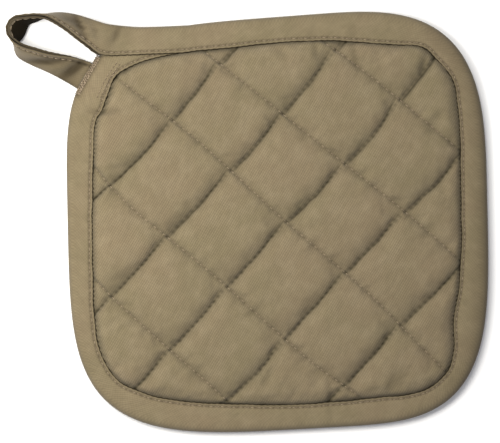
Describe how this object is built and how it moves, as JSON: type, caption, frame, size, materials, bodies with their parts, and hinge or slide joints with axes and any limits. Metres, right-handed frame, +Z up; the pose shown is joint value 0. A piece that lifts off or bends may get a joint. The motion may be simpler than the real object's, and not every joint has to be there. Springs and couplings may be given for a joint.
{
  "type": "pot holder",
  "caption": "Square quilted cloth pot holder with diamond stitching, a folded bias binding and a hanging loop at one corner, lying flat.",
  "frame": {"origin": "under the middle of the whole outline, loop included, on the surface that the pad lies on", "axes": "+Z up out of the pad's face, X and Y along the pad's sides, the loop at the corner towards -X and +Y"},
  "size_m": [0.228, 0.2059, 0.0133],
  "materials": {
    "panel_twill": "khaki cotton twill, quilted",
    "binding_tape": "khaki cotton twill cut on the bias and folded",
    "loop_tape": "the same bias tape, folded in half and sewn shut",
    "thread": "light khaki sewing thread"
  },
  "bodies": {
    "root": {"quilted_panel": "panel_twill", "edge_binding": "binding_tape", "hanging_loop": "loop_tape"}
  },
  "joints": []
}
